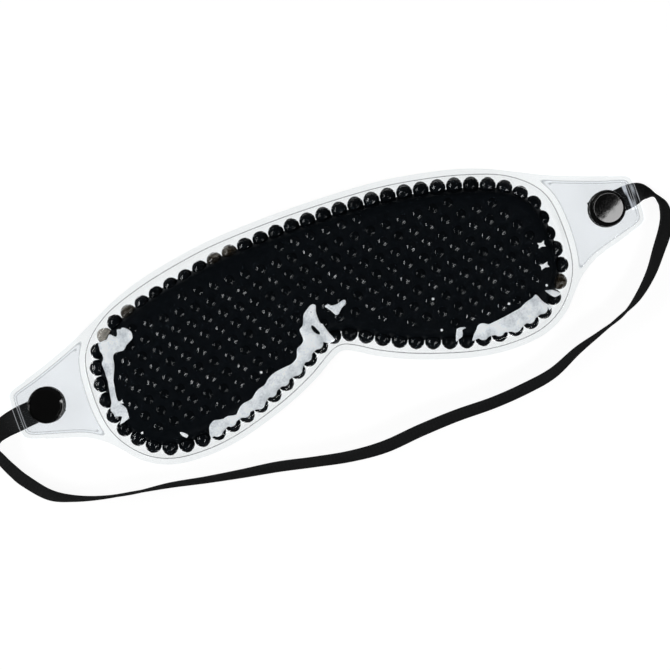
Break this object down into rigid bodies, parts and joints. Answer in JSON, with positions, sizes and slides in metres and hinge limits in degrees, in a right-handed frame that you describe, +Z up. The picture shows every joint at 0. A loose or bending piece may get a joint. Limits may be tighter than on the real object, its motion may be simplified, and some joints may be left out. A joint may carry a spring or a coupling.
{
  "type": "gel bead eye mask",
  "caption": "Hot and cold eye mask: two clear welded films hold black gel beads in fluid, with ears whose plastic snaps carry a removable black elastic head strap.",
  "frame": {"origin": "on the table under the middle of the line that joins the two snaps, on the back film's flat face", "axes": "+X along the mask from the left snap to the right snap, +Y towards the brow edge, +Z up through the front film"},
  "size_m": [0.2427, 0.0877, 0.011],
  "materials": {
    "film": "clear soft vinyl film, glossy, with a thin welded seam",
    "bead": "wet black hydrogel, glossy",
    "smoky_bead": "paler smoky hydrogel, partly see-through",
    "fluid": "thin dark tinted fluid, wet",
    "cap": "moulded black plastic, glossy, dished",
    "snap": "moulded black plastic",
    "elastic": "matte black braided elastic"
  },
  "bodies": {
    "strap": {"elastic_strap": "elastic"},
    "left_snap_half": {"left_stud": "snap", "left_strap_cap": "cap"},
    "right_snap_half": {"right_stud": "snap", "right_strap_cap": "cap"},
    "mask": {"front_film": "film", "back_film": "film", "edge_beads": "bead", "smoky_beads": "smoky_bead", "upper_beads": "bead", "lower_beads": "bead", "carrier_fluid": "fluid", "left_ear_cap": "cap", "right_ear_cap": "cap", "left_socket": "snap", "right_socket": "snap"}
  },
  "joints": [
    {"name": "mask_release", "type": "slide", "parent": "strap", "child": "mask", "axis": [0, 0, 1], "range_m": [0, 0.01]},
    {"name": "left_snap_turn", "type": "hinge", "parent": "strap", "child": "left_snap_half", "pos_m": [-0.099, 0, 0], "axis": [0, 0, 1], "continuous": true},
    {"name": "right_snap_turn", "type": "hinge", "parent": "strap", "child": "right_snap_half", "pos_m": [0.099, 0, 0], "axis": [0, 0, 1], "continuous": true}
  ]
}
